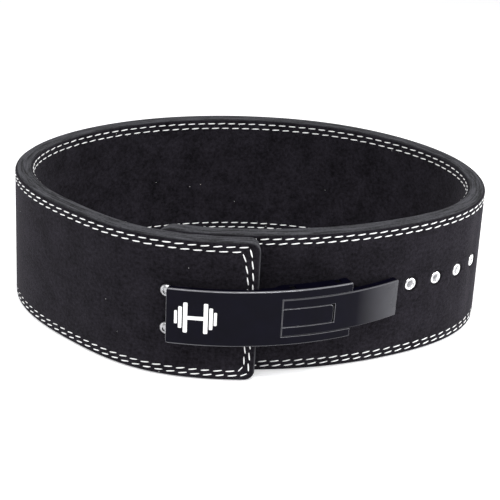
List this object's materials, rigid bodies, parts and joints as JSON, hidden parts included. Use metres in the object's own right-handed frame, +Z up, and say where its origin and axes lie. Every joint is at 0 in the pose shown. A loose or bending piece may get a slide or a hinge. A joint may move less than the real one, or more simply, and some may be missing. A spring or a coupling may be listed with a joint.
{
  "type": "weightlifting belt with a lever buckle",
  "caption": "Wide stiff leather lifting belt closed into a standing ring by a curved metal lever buckle, with a row of metal-lined size holes.",
  "frame": {"origin": "centre of the belt's outline seen from above, on the surface that its lower edge stands on", "axes": "+Z up across the strap's width, +X to the viewer's right along the ring's long way, +Y from the buckle to the back"},
  "size_m": [0.3526, 0.2874, 0.1016],
  "materials": {
    "leather": "matte dyed leather, bare on the edges",
    "suede": "black suede",
    "coated_steel": "satin black coating",
    "nickel": "bright nickel plate",
    "pin_steel": "dark steel"
  },
  "bodies": {
    "root": {"strap_core": "leather", "strap_facing_outer": "suede", "strap_facing_inner": "suede", "size_eyelet_01": "nickel", "size_eyelet_02": "nickel", "size_eyelet_03": "nickel", "size_eyelet_04": "nickel", "size_eyelet_05": "nickel", "size_eyelet_06": "nickel", "size_eyelet_07": "nickel", "size_eyelet_08": "nickel", "size_eyelet_09": "nickel", "size_eyelet_10": "nickel", "base_plate": "coated_steel", "lever_handle": "coated_steel", "hook_plate": "coated_steel", "handle_pin": "pin_steel", "hook_pin": "pin_steel", "screw_upper": "nickel", "screw_lower": "nickel"}
  },
  "joints": []
}
